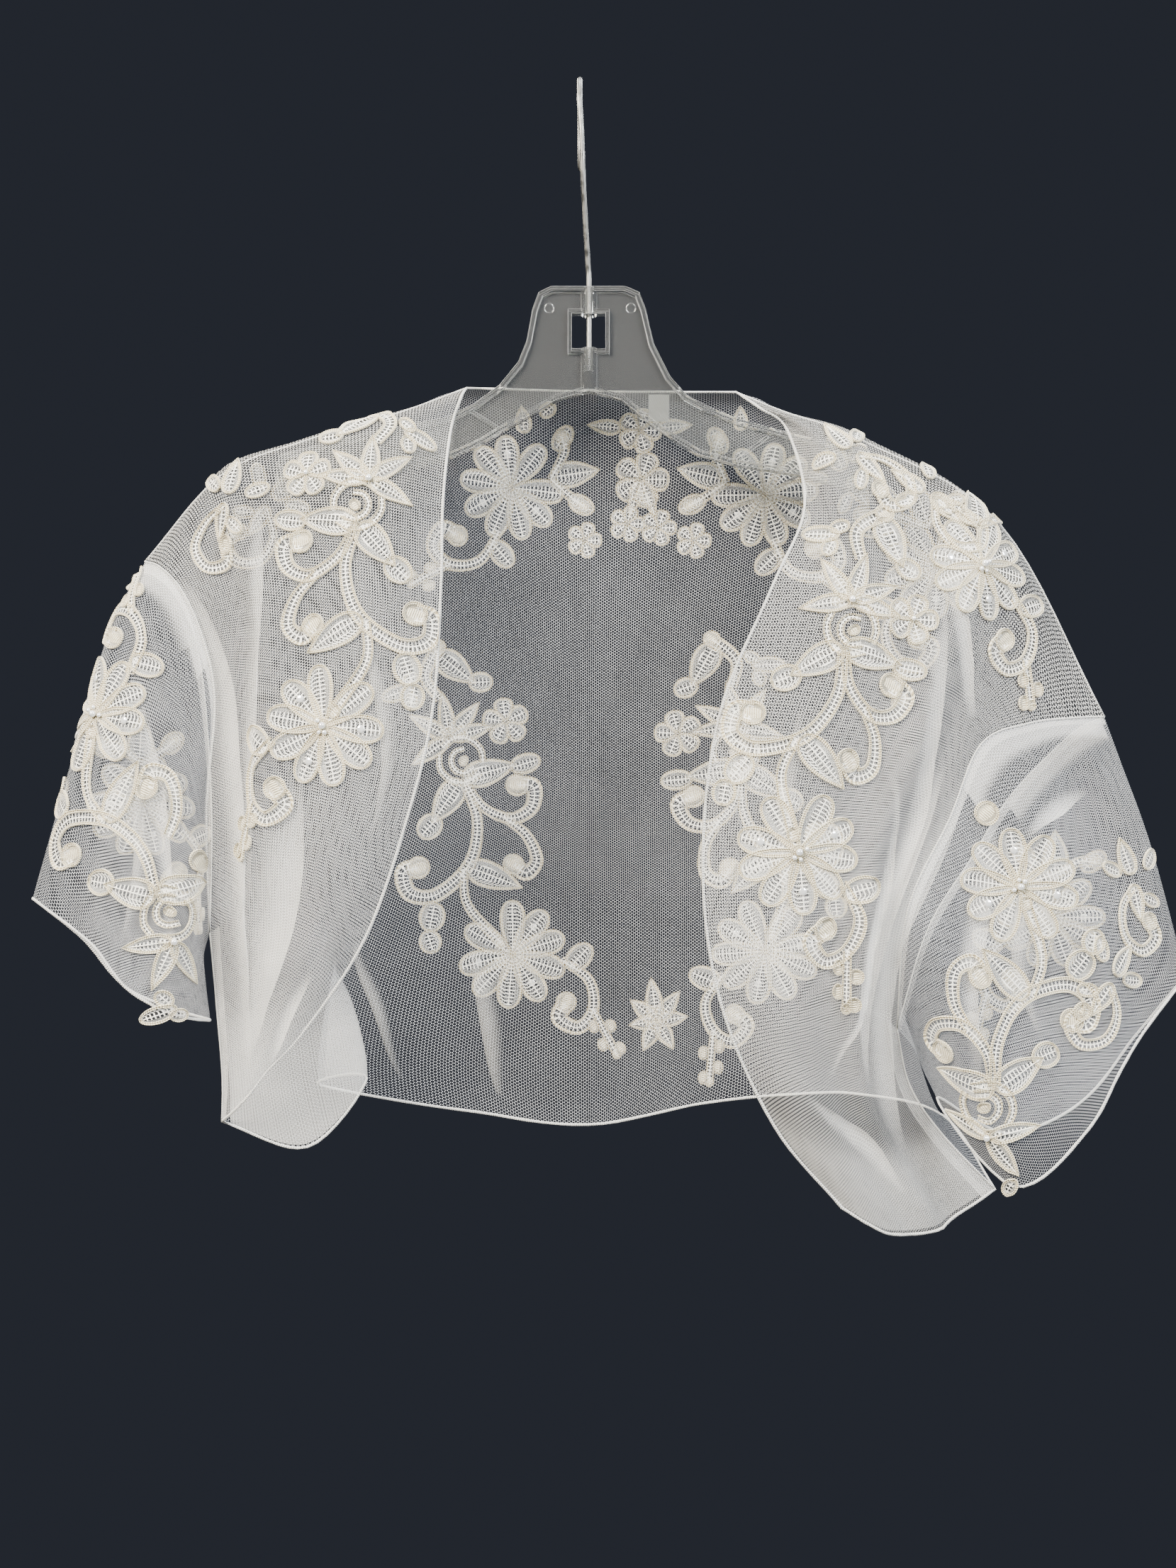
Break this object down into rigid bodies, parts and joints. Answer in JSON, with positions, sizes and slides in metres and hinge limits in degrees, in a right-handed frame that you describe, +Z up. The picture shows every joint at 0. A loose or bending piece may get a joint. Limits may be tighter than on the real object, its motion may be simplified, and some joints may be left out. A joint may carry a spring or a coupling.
{
  "type": "lace bolero",
  "caption": "Short open net jacket with short flared sleeves, curved fronts and corded floral lace, hanging on a clear plastic hanger with a wire hook.",
  "frame": {"origin": "the hook's seat, the inner top of its bend where it rests on a rail", "axes": "+X to the right as seen from the front, +Y to the back, +Z up"},
  "size_m": [0.5661, 0.1095, 0.557],
  "materials": {
    "net": "fine matt tulle",
    "lace": "corded satin stitch",
    "clear": "clear polystyrene",
    "nickel": "bright nickel",
    "tape": "woven satin"
  },
  "bodies": {
    "root": {"back": "net", "front_left": "net", "front_right": "net", "sleeve_left": "net", "sleeve_right": "net", "hanger": "clear", "hook": "nickel", "label": "tape", "lace_front_left": "lace", "lace_front_right": "lace", "lace_shoulder_right": "lace", "lace_sleeve_left": "lace", "lace_sleeve_right": "lace", "lace_back_neck": "lace", "lace_back_neck_left": "lace", "lace_back_neck_right": "lace", "lace_back_left": "lace", "lace_back_right": "lace", "lace_sleeve_back_left": "lace", "lace_sleeve_back_right": "lace"}
  },
  "joints": []
}
